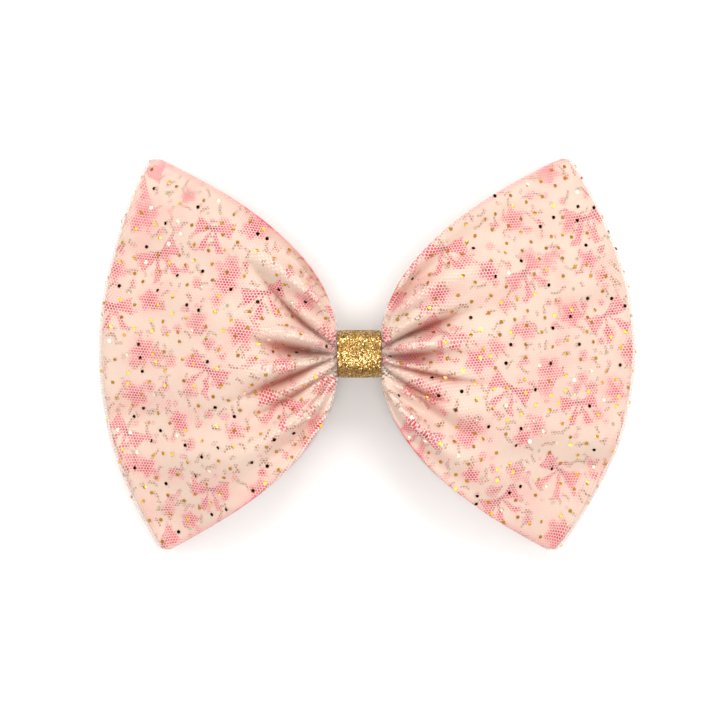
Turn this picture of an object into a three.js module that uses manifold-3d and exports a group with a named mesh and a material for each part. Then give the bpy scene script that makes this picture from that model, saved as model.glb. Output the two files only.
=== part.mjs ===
// A child's hair bow: a printed strip under a tulle overlay, folded into a loop, gathered at the waist,
// wrapped by a glitter band and glued to an alligator clip. Millimetres, +Z up. The bow lies on its
// back with its front upwards; the clip runs along X under the waist, and its jaw turns about Y.
import * as THREE from 'three';
import { mergeVertices } from 'three/addons/utils/BufferGeometryUtils.js';
import Module from 'manifold-3d';

const wasm = await Module();
wasm.setup();
const { lerp, smoothstep } = THREE.MathUtils;

// ---------------------------------------------------------------- sizes

const fit = 0.25;                  // clearance between neighbouring pieces

// the bow, front view
const reachRight = 65.6;           // waist centre to the right loop's outer fold
const reachLeft = 62.6;            // the left loop is folded a little shorter
const bowHeight = 93;              // across the strip, tip to tip
const outerBulge = 15.5;           // how far the outer fold bows out past the tips
const waistHalfWidth = 3.85;       // the gathered cloth, half its width across the strip

// the bow, side view
const waistHalfGap = 3.0;          // bow centre plane to the middle of the printed cloth, at the waist
const loopPuff = 3.4;              // how much fatter the open loop is than its two ends
const foldRadius = 2.2;            // the rounded outer fold
const edgeThinning = 0.3;          // share by which the loop is thinner at its two open edges
const edgeDroop = 0.5;             // how far the open edges hang below the middle
const pleatDepth = 1.0;            // height of the gathers, each way
const pleatCount = 4;              // valleys beside the band
const loopClearance = 0.7;         // loop's back to the clip below it

// cloth
const printThickness = 0.6;
const tulleThickness = 0.5;
const skinStack = printThickness / 2 + fit + tulleThickness;

// band, thread and glue
const bandWidth = 10.2;            // along X
const bandThickness = 0.6;
const bandOverlap = 5;             // the end glued under the start
const threadThickness = 0.5;
const threadTurns = 4;
const threadSpacing = 1.6;         // from turn to turn
const filmThickness = 0.3;         // glue between the band's two ends
const clipGlueThickness = 1.2;
const clipGlueWidth = 6;

// clip
const clipTip = 22;                // waist centre to the jaws' tip
const clipRear = 24;               // waist centre to the levers' end
const plateWidth = 8;
const plateTipWidth = 5;
const jawSheet = 0.6;              // steel thickness
const leverFloorGap = 0.3;         // lever end to the surface that the bow lies on
const leverTravel = 5.6;           // gap that the fingers close
const lugHalfLength = 2.5;         // half the length of the pin lugs along the clip
const pinRadius = 0.7;
const pinHeadRadius = 1.2;
const pinHeadThickness = 0.4;
const coilRadius = 1.6;            // spring coil, to the middle of its wire
const coilTurns = 3.5;
const coilPitch = 0.75;
const wireThickness = 0.5;
const springLeg = 6.5;
const toothCount = 6;
const toothZone = 8.5;             // length of the toothed tip
const liningThickness = 0.5;
const liningWidth = 7;

// ------------------------------------------------- levels, from the table up

const plateBottom = leverFloorGap + jawSheet + leverTravel;
const plateTop = plateBottom + jawSheet;
const liningBottom = plateTop + fit;
const liningTop = liningBottom + liningThickness;
const clipGlueBottom = liningTop + fit;
const clipGlueTop = clipGlueBottom + clipGlueThickness;
const threadHalfHeight = waistHalfGap + skinStack + fit + threadThickness / 2;
const threadHalfWidth = waistHalfWidth + fit + threadThickness / 2;
const waistLevel = clipGlueTop + fit + threadThickness / 2 + threadHalfHeight;
const loopHalfGap = waistHalfGap + loopPuff;
const loopLevel = liningTop + loopClearance + skinStack + loopHalfGap;
const foldLevel = foldRadius + skinStack;
const waistReach = bandWidth / 2 + fit;
const pivotX = -waistReach - fit - lugHalfLength;
const basePlateTop = 1.7;          // lower jaw's floor under the spring
const pivotZ = (basePlateTop + plateBottom) / 2;

// ---------------------------------------------------------------- helpers

// Positions only, with shared corners, as manifold-3d and the part's meshes need them.
function toManifold(geometry) {
  const plain = new THREE.BufferGeometry();
  plain.setAttribute('position', geometry.getAttribute('position'));
  if (geometry.index) plain.setIndex(geometry.index);
  const merged = mergeVertices(plain, 1e-4);
  return new wasm.Manifold(new wasm.Mesh({
    numProp: 3,
    vertProperties: Float32Array.from(merged.getAttribute('position').array),
    triVerts: Uint32Array.from(merged.index.array),
  }));
}

function fromManifold(solid) {
  const mesh = solid.getMesh();
  const geometry = new THREE.BufferGeometry();
  geometry.setAttribute('position', new THREE.BufferAttribute(mesh.vertProperties, 3));
  geometry.setIndex(new THREE.BufferAttribute(mesh.triVerts, 1));
  return geometry;
}

function joined(geometries) {
  return fromManifold(geometries.map(toManifold).reduce((sum, next) => sum.add(next)));
}

// A flat shape drawn in (X, Z), made thick along Y from one y to another.
function extrudedAlongY(shape, yFrom, yTo) {
  const geometry = new THREE.ExtrudeGeometry(shape, { depth: yTo - yFrom, bevelEnabled: false, curveSegments: 8 });
  geometry.rotateX(Math.PI / 2);
  geometry.translate(0, yTo, 0);
  return geometry;
}

// A flat shape drawn in (Y, Z), made thick along X about its middle.
function extrudedAlongX(shape, length) {
  const geometry = new THREE.ExtrudeGeometry(shape, { depth: length, bevelEnabled: false, curveSegments: 8 });
  const turn = new THREE.Matrix4().makeBasis(
    new THREE.Vector3(0, 1, 0), new THREE.Vector3(0, 0, 1), new THREE.Vector3(1, 0, 0));
  geometry.applyMatrix4(turn);
  geometry.translate(-length / 2, 0, 0);
  return geometry;
}

// A rounded rectangle in (Y, Z) with its middle at z = level.
function roundedRectangle(path, halfWidth, halfHeight, radius, level) {
  const inner = [halfWidth - radius, halfHeight - radius];
  path.moveTo(halfWidth, level - inner[1]);
  path.absarc(inner[0], level + inner[1], radius, 0, Math.PI / 2, false);
  path.absarc(-inner[0], level + inner[1], radius, Math.PI / 2, Math.PI, false);
  path.absarc(-inner[0], level - inner[1], radius, Math.PI, 1.5 * Math.PI, false);
  path.absarc(inner[0], level - inner[1], radius, 1.5 * Math.PI, 2 * Math.PI, false);
  return path;
}

// A wire or thread of round section along a list of points.
function sweptRound(points, thickness, steps, sides) {
  const section = new THREE.Shape();
  section.absarc(0, 0, thickness / 2, 0, 2 * Math.PI, false);
  const curve = new THREE.CatmullRomCurve3(points);
  return new THREE.ExtrudeGeometry(section, {
    steps, extrudePath: curve, curveSegments: sides, bevelEnabled: false,
  });
}

function piece(name, geometry, color, roughness, metalness) {
  const material = new THREE.MeshStandardMaterial({ color, roughness, metalness });
  const mesh = new THREE.Mesh(geometry, material);
  mesh.name = name;
  return mesh;
}

// ---------------------------------------------------------------- gathered cloth

// t runs from 0 at the waist to 1 at the outer fold, v from -1 to 1 across the strip.
const halfHeightAt = (t) => lerp(waistHalfWidth, bowHeight / 2, Math.sqrt(t));

function reachAt(side, v) {
  const reach = side > 0 ? reachRight : reachLeft;
  return reach - skinStack - outerBulge * v * v;
}

// The middle of the loop stays level over the clip, then sinks until the outer fold meets the table.
function middleLevel(t, v) {
  const overClip = (clipTip - waistReach) / (reachRight - waistReach);
  const raised = lerp(waistLevel, loopLevel, smoothstep(t, 0, overClip / 2));
  const sunk = lerp(raised, foldLevel, smoothstep(t, overClip * 0.9, 1.05));
  return sunk - edgeDroop * v * v * smoothstep(t, 0, overClip);
}

function halfGapAt(t, v) {
  const straight = lerp(waistHalfGap, foldRadius, t);
  const puff = loopPuff * Math.sin(Math.PI * Math.pow(t, 0.8));
  return (straight + puff) * (1 - edgeThinning * v * v);
}

function pleatAt(t, v) {
  const strength = smoothstep(t, 0, 0.05) * (1 - smoothstep(t, 0.1, 0.65));
  return pleatDepth * strength * Math.cos(Math.PI * pleatCount * (v + 1));
}

// One station of the loop's closed run: front wall out, round the fold, back wall in, then the other side.
// Each gives the cloth's middle point at v, and the way that its outer face looks.
function waistStation(face, share) {
  return {
    point: (v) => new THREE.Vector3(
      share * waistReach, v * halfHeightAt(0), middleLevel(0, v) + face * halfGapAt(0, v)),
    outward: new THREE.Vector3(0, 0, face),
  };
}

function wallStation(side, face, t) {
  return {
    point: (v) => new THREE.Vector3(
      side * lerp(waistReach, reachAt(side, v) - foldRadius, t),
      v * halfHeightAt(t),
      middleLevel(t, v) + face * halfGapAt(t, v) + pleatAt(t, v)),
    outward: new THREE.Vector3(0, 0, face),
  };
}

function foldStation(side, angle) {
  return {
    point: (v) => new THREE.Vector3(
      side * (reachAt(side, v) - foldRadius + foldRadius * Math.cos(angle)),
      v * halfHeightAt(1),
      middleLevel(1, v) + halfGapAt(1, v) * Math.sin(angle)),
    outward: new THREE.Vector3(side * Math.cos(angle), 0, Math.sin(angle)),
  };
}

function loopStations() {
  const wallSteps = 9;
  const foldSteps = 4;
  const waistSteps = 2;
  const stations = [];
  const halfLoop = (side, face) => {
    for (let i = 0; i < waistSteps; i++) stations.push(waistStation(face, side * i / waistSteps));
    for (let i = 0; i <= wallSteps; i++) stations.push(wallStation(side, face, (i / wallSteps) ** 2));
    for (let i = 1; i < foldSteps; i++) stations.push(foldStation(side, face * Math.PI * (0.5 - i / foldSteps)));
    for (let i = wallSteps; i >= 0; i--) stations.push(wallStation(side, -face, (i / wallSteps) ** 2));
    for (let i = waistSteps - 1; i > 0; i--) stations.push(waistStation(-face, side * i / waistSteps));
  };
  halfLoop(1, 1);
  halfLoop(-1, -1);
  return stations;
}

// A closed ring of cloth between two distances from the printed cloth's middle.
function clothRing(innerOffset, outerOffset) {
  const stations = loopStations();
  const columns = 4 * pleatCount + 1;
  const corners = [];
  for (const station of stations) {
    for (let column = 0; column < columns; column++) {
      const point = station.point(2 * column / (columns - 1) - 1);
      for (const offset of [innerOffset, outerOffset]) {
        corners.push(...point.clone().addScaledVector(station.outward, offset).toArray());
      }
    }
  }
  const corner = (row, column, skin) => 2 * ((row % stations.length) * columns + column) + skin;
  const triangles = [];
  const quad = (a, b, c, d) => triangles.push(a, b, c, a, c, d);
  for (let row = 0; row < stations.length; row++) {
    for (let column = 0; column < columns - 1; column++) {
      quad(corner(row, column, 1), corner(row + 1, column, 1),
        corner(row + 1, column + 1, 1), corner(row, column + 1, 1));
      quad(corner(row, column, 0), corner(row, column + 1, 0),
        corner(row + 1, column + 1, 0), corner(row + 1, column, 0));
    }
    const last = columns - 1;
    quad(corner(row, 0, 0), corner(row + 1, 0, 0), corner(row + 1, 0, 1), corner(row, 0, 1));
    quad(corner(row, last, 0), corner(row, last, 1), corner(row + 1, last, 1), corner(row + 1, last, 0));
  }
  const geometry = new THREE.BufferGeometry();
  geometry.setAttribute('position', new THREE.Float32BufferAttribute(corners, 3));
  geometry.setIndex(triangles);
  return geometry;
}

// The strip's ends and the squeezed gathers fill the loop at the waist.
function gatheredCore() {
  const section = new THREE.Shape();
  section.absellipse(0, waistLevel, waistHalfWidth * 0.85, waistHalfGap, 0, 2 * Math.PI, false);
  return extrudedAlongX(section, 2 * waistReach);
}

function printedFabric() {
  const ring = clothRing(-printThickness / 2, printThickness / 2);
  return piece('printed_fabric', joined([ring, gatheredCore()]), 0xf6ddd3, 0.85, 0);
}

function tulleOverlay() {
  const ring = clothRing(printThickness / 2 + fit, skinStack);
  return piece('tulle_overlay', ring, 0xf9e8df, 0.8, 0);
}

function gatheringThread() {
  const cornerRadius = 1.6;
  const pointsPerTurn = 24;
  const turnOutline = roundedRectangle(
    new THREE.Path(), threadHalfWidth, threadHalfHeight, cornerRadius, waistLevel);
  const points = [];
  for (let i = 0; i <= threadTurns * pointsPerTurn; i++) {
    const turn = i / pointsPerTurn;
    const spot = turnOutline.getPointAt(turn % 1);
    points.push(new THREE.Vector3(threadSpacing * (turn - threadTurns / 2), spot.x, spot.y));
  }
  return piece('gathering_thread', sweptRound(points, threadThickness, points.length, 3), 0xf3e6dc, 0.7, 0);
}

// ---------------------------------------------------------------- band and glue

const bandHalfWidth = threadHalfWidth + threadThickness / 2 + fit + bandThickness / 2;
const bandTopLevel = waistLevel + threadHalfHeight + threadThickness / 2 + fit + bandThickness / 2;
const bandStartLevel = plateBottom - fit - bandThickness / 2;
const bandEndLevel = bandStartLevel - bandThickness - 2 * fit - filmThickness;

// The strip starts under the clip's plate, runs once round the waist and ends under its own start.
function bandMiddleLine() {
  const topRadius = 2.6;
  const bottomRadius = 1.2;
  const line = new THREE.Path();
  line.moveTo(bandOverlap / 2, bandStartLevel);
  line.absarc(-bandHalfWidth + bottomRadius, bandStartLevel + bottomRadius,
    bottomRadius, 1.5 * Math.PI, Math.PI, true);
  line.absarc(-bandHalfWidth + topRadius, bandTopLevel - topRadius, topRadius, Math.PI, Math.PI / 2, true);
  line.absarc(bandHalfWidth - topRadius, bandTopLevel - topRadius, topRadius, Math.PI / 2, 0, true);
  line.absarc(bandHalfWidth - bottomRadius, bandEndLevel + bottomRadius, bottomRadius, 0, -Math.PI / 2, true);
  line.lineTo(-bandOverlap / 2, bandEndLevel);
  return line.getPoints(6);
}

// The middle line thickened to both sides.
function bandOutline() {
  const line = bandMiddleLine().filter((point, i, all) => i === 0 || point.distanceTo(all[i - 1]) > 1e-6);
  const inside = [];
  const outside = [];
  line.forEach((point, i) => {
    const before = line[Math.max(i - 1, 0)];
    const after = line[Math.min(i + 1, line.length - 1)];
    const along = after.clone().sub(before).normalize();
    const across = new THREE.Vector2(-along.y, along.x).multiplyScalar(bandThickness / 2);
    outside.push(point.clone().add(across));
    inside.unshift(point.clone().sub(across));
  });
  return new THREE.Shape([...outside, ...inside]);
}

function centreBand() {
  return piece('centre_band', extrudedAlongX(bandOutline(), bandWidth), 0xc9a24c, 0.35, 0.8);
}

function bandGlue() {
  const level = (bandStartLevel + bandEndLevel) / 2;
  const film = new THREE.BoxGeometry(bandWidth * 0.8, bandOverlap * 0.8, filmThickness);
  film.translate(0, 0, level);
  return piece('band_glue', film, 0xf1ead8, 0.4, 0);
}

function clipGlue() {
  const cornerRadius = 1.5;
  const halfLength = bandWidth / 2 - fit;
  const pad = new THREE.Shape();
  roundedRectangle(pad, halfLength, clipGlueWidth / 2, cornerRadius, 0);
  const geometry = new THREE.ExtrudeGeometry(pad, {
    depth: clipGlueThickness, bevelEnabled: false, curveSegments: 5,
  });
  geometry.translate(0, 0, clipGlueBottom);
  return piece('clip_glue', geometry, 0xf1ead8, 0.4, 0);
}

// ---------------------------------------------------------------- alligator clip

// The jaws' outline from above, inset from the upper plate's edge: square-cut rear, narrower round tip.
function jawPlan(inset) {
  const rearRadius = 1.5;
  const halfWidth = plateWidth / 2 - inset;
  const tipRadius = plateTipWidth / 2 - inset;
  const rear = -clipRear + inset;
  const plan = new THREE.Shape();
  plan.moveTo(waistReach, -halfWidth);
  plan.absarc(clipTip - inset - tipRadius, 0, tipRadius, -Math.PI / 2, Math.PI / 2, false);
  plan.lineTo(waistReach, halfWidth);
  plan.absarc(rear + rearRadius, halfWidth - rearRadius, rearRadius, Math.PI / 2, Math.PI, false);
  plan.absarc(rear + rearRadius, -halfWidth + rearRadius, rearRadius, Math.PI, 1.5 * Math.PI, false);
  return plan;
}

function flatPlate(plan, bottom, thickness) {
  const geometry = new THREE.ExtrudeGeometry(plan, { depth: thickness, bevelEnabled: false, curveSegments: 8 });
  geometry.translate(0, 0, bottom);
  return geometry;
}

// A pin lug in (X, Z): straight sides from its jaw's sheet to a round end about the pivot, with the pin's hole.
function lugShape(halfLength, rootLevel) {
  const upwards = rootLevel < pivotZ;
  const shape = new THREE.Shape();
  shape.moveTo(pivotX + halfLength, rootLevel);
  shape.absarc(pivotX, pivotZ, halfLength, 0, upwards ? Math.PI : -Math.PI, !upwards);
  shape.lineTo(pivotX - halfLength, rootLevel);
  const hole = new THREE.Path();
  hole.absarc(pivotX, pivotZ, pinRadius + fit, 0, 2 * Math.PI, false);
  shape.holes.push(hole);
  return shape;
}

function lugPair(halfLength, rootLevel, outerY) {
  const shape = lugShape(halfLength, rootLevel);
  return [
    extrudedAlongY(shape, outerY - jawSheet, outerY),
    extrudedAlongY(shape, -outerY, -outerY + jawSheet),
  ];
}

const lowerLugOuterY = plateWidth / 2 - jawSheet - fit;

function clipUpperJaw() {
  const plate = flatPlate(jawPlan(0), plateBottom, jawSheet);
  const lugs = lugPair(lugHalfLength, plateBottom + jawSheet / 2, plateWidth / 2);
  return piece('clip_upper_jaw', joined([plate, ...lugs]), 0xc9cbce, 0.3, 1);
}

// Top of the thumb lever, which falls from the spring's floor to its free end.
function leverTopAt(x) {
  const floorEnd = pivotX - lugHalfLength;
  const share = (floorEnd - x) / (floorEnd + clipRear);
  return lerp(basePlateTop, leverFloorGap + jawSheet, Math.max(share, 0));
}

// Side outline of the lower jaw: thumb lever, floor under the spring, rising nose, toothed tip.
function lowerJawSide() {
  const noseTop = plateBottom - 3 * fit;
  const contact = plateBottom - fit;
  const toothStart = clipTip - toothZone;
  const top = [
    [-clipRear, leverFloorGap + jawSheet],
    [pivotX - lugHalfLength, basePlateTop],
    [pivotX + lugHalfLength, basePlateTop],
    [toothStart, noseTop - 2 * fit],
  ];
  for (let tooth = 0; tooth < toothCount; tooth++) {
    const pitch = toothZone / toothCount;
    top.push([toothStart + tooth * pitch, noseTop - fit]);
    top.push([toothStart + (tooth + 0.5) * pitch, contact]);
  }
  top.push([clipTip, noseTop]);
  const bottom = [
    [clipTip, noseTop - jawSheet],
    [toothStart, noseTop - 2 * fit - jawSheet],
    [pivotX + lugHalfLength, basePlateTop - jawSheet],
    [pivotX - lugHalfLength, basePlateTop - jawSheet],
    [-clipRear, leverFloorGap],
  ];
  return new THREE.Shape([...top, ...bottom].reverse().map(([x, z]) => new THREE.Vector2(x, z)));
}

function clipLowerJaw() {
  const strip = toManifold(extrudedAlongY(lowerJawSide(), -plateWidth, plateWidth));
  const plan = toManifold(flatPlate(jawPlan(plateWidth / 2 - lowerLugOuterY), 0, plateBottom));
  const lugs = lugPair(lugHalfLength - 2 * fit, basePlateTop - jawSheet / 2, lowerLugOuterY);
  const solid = lugs.map(toManifold).reduce((sum, next) => sum.add(next), strip.intersect(plan));
  return piece('clip_lower_jaw', fromManifold(solid), 0xc4c6ca, 0.32, 1);
}

function clipHingePin() {
  const headInner = plateWidth / 2 + fit;
  const headOuter = headInner + pinHeadThickness;
  const profile = [
    [0, -headOuter], [pinHeadRadius, -headOuter], [pinHeadRadius, -headInner], [pinRadius, -headInner],
    [pinRadius, headInner], [pinHeadRadius, headInner], [pinHeadRadius, headOuter], [0, headOuter],
  ];
  const geometry = new THREE.LatheGeometry(profile.map(([x, y]) => new THREE.Vector2(x, y)), 16);
  geometry.translate(pivotX, 0, 0);
  const pin = piece('clip_hinge_pin', geometry, 0xb9bbbf, 0.3, 1);
  pin.position.z = pivotZ;
  return pin;
}

// One leg presses up under the plate, the coil winds round the pin, and the other leg presses the lever.
function clipSpring() {
  const pointsPerTurn = 14;
  const coilHalfLength = coilTurns * coilPitch / 2;
  const legStart = pivotX - springLeg;
  const upperLegLevel = plateBottom - fit - wireThickness / 2;
  const lowerLegLevel = leverTopAt(legStart) + fit + wireThickness / 2;
  const points = [
    new THREE.Vector3(legStart, -coilHalfLength, upperLegLevel),
    new THREE.Vector3((legStart + pivotX) / 2, -coilHalfLength, (upperLegLevel + pivotZ + coilRadius) / 2),
  ];
  for (let i = 0; i <= coilTurns * pointsPerTurn; i++) {
    const angle = Math.PI / 2 - 2 * Math.PI * i / pointsPerTurn;
    const y = -coilHalfLength + coilPitch * i / pointsPerTurn;
    points.push(new THREE.Vector3(
      pivotX + coilRadius * Math.cos(angle), y, pivotZ + coilRadius * Math.sin(angle)));
  }
  points.push(new THREE.Vector3(
    (legStart + pivotX) / 2, coilHalfLength, (lowerLegLevel + pivotZ - coilRadius) / 2));
  points.push(new THREE.Vector3(legStart, coilHalfLength, lowerLegLevel));
  return piece('clip_spring', sweptRound(points, wireThickness, points.length, 3), 0xa9abb0, 0.3, 1);
}

function clipLiningRibbon() {
  const plan = jawPlan((plateWidth - liningWidth) / 2);
  return piece('clip_lining_ribbon', flatPlate(plan, liningBottom, liningThickness), 0xf4dcd6, 0.8, 0);
}

// ---------------------------------------------------------------- the assembly

function hairBow() {
  const bow = new THREE.Group();
  bow.add(printedFabric(), tulleOverlay(), gatheringThread());
  bow.add(centreBand(), bandGlue(), clipGlue(), clipLiningRibbon());
  bow.add(clipUpperJaw(), clipLowerJaw(), clipHingePin(), clipSpring());

  // the origin goes to the middle of the bow's outline, on the surface that it lies on
  const outline = new THREE.Box3().setFromObject(bow);
  const middle = outline.getCenter(new THREE.Vector3());
  bow.position.set(-middle.x, -middle.y, -outline.min.z);
  const part = new THREE.Group();
  part.add(bow);
  return part;
}

export default hairBow();
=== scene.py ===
import bpy
import math
import random
import numpy as np
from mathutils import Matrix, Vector
from mathutils.kdtree import KDTree


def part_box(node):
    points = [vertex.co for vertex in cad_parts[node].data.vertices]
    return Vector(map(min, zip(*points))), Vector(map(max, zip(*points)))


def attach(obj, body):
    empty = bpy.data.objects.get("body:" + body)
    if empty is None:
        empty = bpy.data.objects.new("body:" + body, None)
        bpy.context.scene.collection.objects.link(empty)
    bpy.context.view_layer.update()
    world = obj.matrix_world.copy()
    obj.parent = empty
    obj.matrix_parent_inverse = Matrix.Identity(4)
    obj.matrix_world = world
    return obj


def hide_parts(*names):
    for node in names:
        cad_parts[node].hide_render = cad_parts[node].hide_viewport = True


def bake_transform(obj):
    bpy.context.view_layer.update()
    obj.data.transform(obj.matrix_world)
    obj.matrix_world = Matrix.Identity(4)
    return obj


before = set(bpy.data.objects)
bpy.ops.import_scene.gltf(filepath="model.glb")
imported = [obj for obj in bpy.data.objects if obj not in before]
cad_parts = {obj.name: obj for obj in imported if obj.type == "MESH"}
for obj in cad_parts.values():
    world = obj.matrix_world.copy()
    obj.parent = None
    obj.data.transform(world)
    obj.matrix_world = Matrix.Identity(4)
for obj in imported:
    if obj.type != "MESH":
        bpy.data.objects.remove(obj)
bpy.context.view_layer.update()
bpy.ops.object.select_all(action="DESELECT")
print("frame loaded")

mm = 0.001


def toLinear(hexColour):  # sRGB hex to the linear colour that the shaders take
    channels = [int(hexColour[i:i + 2], 16) / 255 for i in (1, 3, 5)]
    return [c / 12.92 if c <= 0.04045 else ((c + 0.055) / 1.055) ** 2.4 for c in channels] + [1.0]


def addNode(material, kind, links=None, **settings):
    # one node with its settings; links gives each input a value or another node's output
    node = material.node_tree.nodes.new(kind)
    for name, value in settings.items():
        setattr(node, name, value)
    for key, value in (links or {}).items():
        if isinstance(value, bpy.types.NodeSocket):
            material.node_tree.links.new(value, node.inputs[key])
        else:
            node.inputs[key].default_value = value
    return node


def newMaterial(name):
    material = bpy.data.materials.new(name)
    material.use_nodes = True
    return material, material.node_tree.nodes["Principled BSDF"]


def connect(material, output, socket):
    material.node_tree.links.new(output, socket)


def meshPiece(name, vertices, faces):
    mesh = bpy.data.meshes.new(name)
    mesh.from_pydata([tuple(v) for v in vertices], [], faces)
    piece = bpy.data.objects.new(name, mesh)
    bpy.context.scene.collection.objects.link(piece)
    return piece


# camera and light

camera = {
    "lens": 100,  # mm, a long lens held straight above the bow
    "frameWidth": 171.7 * mm,  # what the frame spans at the loops' tips
    "tipLevel": 4 * mm,
    "aim": (-1.36 * mm, -1.42 * mm),
}


def makeCamera():
    data = bpy.data.cameras.new("camera")
    data.lens = camera["lens"]
    data.clip_start = 0.01
    height = camera["frameWidth"] * camera["lens"] / data.sensor_width + camera["tipLevel"]
    eye = bpy.data.objects.new("camera", data)
    eye.location = (camera["aim"][0], camera["aim"][1], height)
    bpy.context.scene.collection.objects.link(eye)
    bpy.context.scene.camera = eye


lights = {
    # the window is the main soft light, from above the tips
    "window": {"at": (0.10, 0.62, 0.62), "size": 0.46, "power": 4.4},
    "overhead": {"at": (0.0, -0.22, 0.95), "size": 0.42, "power": 3.6},
    "leftFill": {"at": (-0.75, 0.05, 0.55), "size": 0.5, "power": 1.2},
    "rightFill": {"at": (0.75, -0.1, 0.55), "size": 0.5, "power": 1.2},
}


def makeLights():
    for name, light in lights.items():
        data = bpy.data.lights.new(name, "AREA")
        data.shape = "SQUARE"
        data.size = light["size"]
        data.energy = light["power"]
        lamp = bpy.data.objects.new(name, data)
        lamp.location = light["at"]
        lamp.rotation_euler = (-Vector(light["at"])).to_track_quat("-Z", "Y").to_euler()
        bpy.context.scene.collection.objects.link(lamp)
    world = bpy.data.worlds.new("studio")
    world.use_nodes = True
    world.node_tree.nodes["Background"].inputs["Color"].default_value = toLinear("#FFFCFA")
    world.node_tree.nodes["Background"].inputs["Strength"].default_value = 0.6
    bpy.context.scene.world = world
    bpy.context.scene.view_settings.view_transform = "Standard"


def makeFloor():
    bpy.ops.mesh.primitive_plane_add(size=3, location=(0, 0, -0.0004))
    floor = bpy.context.object
    floor.name = "floor"
    material, shader = newMaterial("whitePaperSweep")  # matt paper, pale and even
    shader.inputs["Base Color"].default_value = toLinear("#FBFAF9")
    shader.inputs["Roughness"].default_value = 0.9
    floor.data.materials.append(material)


makeCamera()
makeLights()
makeFloor()
print("camera, light and floor made")

# the gathered cloth

bandLow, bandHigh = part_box("centre_band")
printLow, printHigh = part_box("printed_fabric")
threadLow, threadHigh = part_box("gathering_thread")
liningLow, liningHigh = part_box("clip_lining_ribbon")

waistX = (bandLow.x + bandHigh.x) / 2
bandHalf = (bandHigh.x - bandLow.x) / 2

cloth = {
    "columns": 141,  # across the strip, odd so that one runs down its middle
    "wallRows": 60,  # waist to outer fold
    "foldRows": 7,
    "bandRows": 4,  # the cloth's share of rows hidden under the band
    "tipHalf": printHigh.y,
    "waistHalf": 3.7 * mm,
    "waistReach": bandHalf + 0.2 * mm,
    # how far the outer fold bows out past each loop's upper and lower tip
    "bulge": {1: (15.3 * mm, 18.4 * mm), -1: (11.8 * mm, 14.4 * mm)},
    "reach": {1: printHigh.x - waistX + 0.4 * mm, -1: waistX - printLow.x - 0.3 * mm},
    "foldRadius": 2.2 * mm,
    "waistGap": 3.0 * mm,  # half the waist's depth, to the middle of the printed cloth
    "waistHeight": 4.0 * mm,  # half of what the band leaves for the cloth
    "puff": 3.4 * mm,
    "edgeThinning": 0.3,
    "edgeDroop": 0.5 * mm,
    "waistLevel": (threadLow.z + threadHigh.z) / 2,
    "loopLevel": liningHigh.z + 8.2 * mm,
    "foldLevel": 3.2 * mm,
    "plateau": 0.276,  # share of the loop that stays level over the clip
    "thickness": 0.22 * mm,
    "clipGap": 1.0 * mm,  # the back wall's printed cloth stays this far above the clip's ribbon
    "tulleLift": 0.42 * mm,
    "relaxing": 260,  # rounds of laying the cloth flat
    "tulleOverhang": 0.3 * mm,  # the tulle's fold lies this far outside the print's
}

# each gather: where it leaves the band (mm above the middle), its slope and bend across the loop,
# how far it runs, how deep it is and how wide it opens, per side
gathers = {
    -1: [
        {"start": 1.7, "slope": 0.58, "bend": 0.020, "length": 24, "depth": 4.2, "opens": 0.17},
        {"start": 0.0, "slope": 0.127, "bend": 0.002, "length": 26, "depth": 4.6, "opens": 0.22},
        {"start": -0.7, "slope": -0.40, "bend": -0.001, "length": 30, "depth": 4.4, "opens": 0.17},
        {"start": -3.1, "slope": -0.68, "bend": 0.004, "length": 24, "depth": 3.4, "opens": 0.16},
        {"start": -4.0, "slope": -1.35, "bend": 0.012, "length": 17, "depth": 2.0, "opens": 0.2},
    ],
    1: [
        {"start": 1.4, "slope": 0.57, "bend": -0.0075, "length": 26, "depth": 4.4, "opens": 0.17},
        {"start": -0.4, "slope": 0.03, "bend": 0.002, "length": 20, "depth": 4.4, "opens": 0.22},
        {"start": -2.0, "slope": -0.27, "bend": 0.0025, "length": 32, "depth": 3.8, "opens": 0.13},
        {"start": -2.9, "slope": -0.82, "bend": 0.018, "length": 20, "depth": 3.8, "opens": 0.16},
        {"start": -4.2, "slope": -0.65, "bend": -0.006, "length": 26, "depth": 1.6, "opens": 0.14},
    ],
}

# fine gathers packed under the band: (waves across the strip, depth mm, run mm, start)
fineGathers = [(12.0, 1.5, 5, 0.3), (7.0, 1.15, 34, 2.1), (3.2, 1.5, 62, 0.8), (4.3, 1.1, 56, 2.6)]

# the back wall, pressed on the clip, crumples finer: (waves across the strip, depth mm, run mm, start)
backGather = (11.0, 1.3, 40, 0.9)

# long soft waves further out on the loops: (size mm, wave length mm, direction degrees, start)
softWaves = [
    (0.55, 31, 78, 0.4),
    (0.40, 19, 97, 1.9),
    (0.30, 24, 40, 3.1),
    (0.22, 12.5, 85, 0.9),
    (0.16, 9, 110, 2.2),
]


def ease(x, start, end):
    t = np.clip((x - start) / (end - start), 0, 1)
    return t * t * (3 - 2 * t)


def mix(a, b, t):
    return a + (b - a) * t


def planPoint(side, t, v):
    upper, lower = cloth["bulge"][side]
    reach = cloth["reach"][side] - (upper if v > 0 else lower) * v * v - cloth["foldRadius"]
    x = mix(cloth["waistReach"], reach, t)
    y = v * mix(cloth["waistHalf"], cloth["tipHalf"], np.sqrt(t))
    return x, y


def middleLevel(t, v):
    raised = mix(cloth["waistLevel"], cloth["loopLevel"], ease(t, 0, cloth["plateau"] / 2))
    sunk = mix(raised, cloth["foldLevel"], ease(t, cloth["plateau"] * 0.9, 1.05))
    return sunk - cloth["edgeDroop"] * v * v * ease(t, 0, cloth["plateau"])


def halfGap(t, v):
    straight = mix(cloth["waistGap"], cloth["foldRadius"], t)
    puff = cloth["puff"] * np.sin(math.pi * t ** 0.8)
    return (straight + puff) * (1 - cloth["edgeThinning"] * v * v)


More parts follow.
